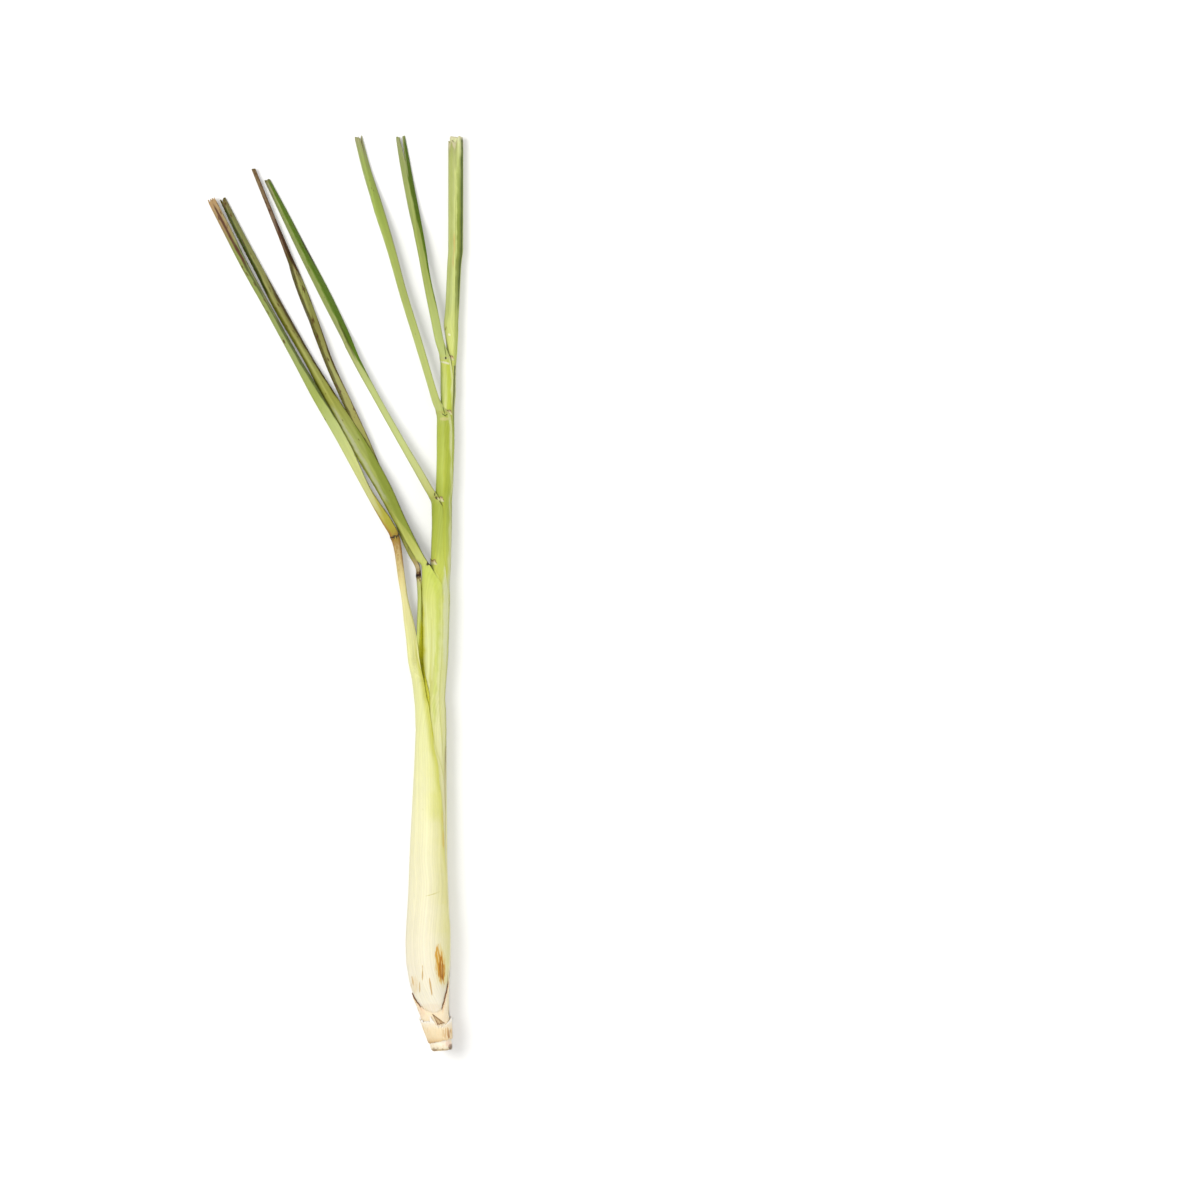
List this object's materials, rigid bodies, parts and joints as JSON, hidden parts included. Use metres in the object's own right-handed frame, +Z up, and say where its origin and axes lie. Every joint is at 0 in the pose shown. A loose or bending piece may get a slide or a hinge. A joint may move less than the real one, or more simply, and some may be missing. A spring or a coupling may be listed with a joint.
{
  "type": "lemongrass stalk",
  "caption": "Fresh cut lemongrass stalk lying flat, with a pale swollen base wrapped in sheaths and narrow green blades fanned to one side.",
  "frame": {"origin": "middle of the small flat spot under the bulb that the stalk lies on", "axes": "+Y along the stalk from the cut root end to the leaf tips, +Z up off the surface, +X to the side away from the fanned blades"},
  "size_m": [0.1177, 0.4215, 0.0198],
  "materials": {
    "stalk": "satin"
  },
  "bodies": {
    "root": {"stalk": "stalk"}
  },
  "joints": []
}
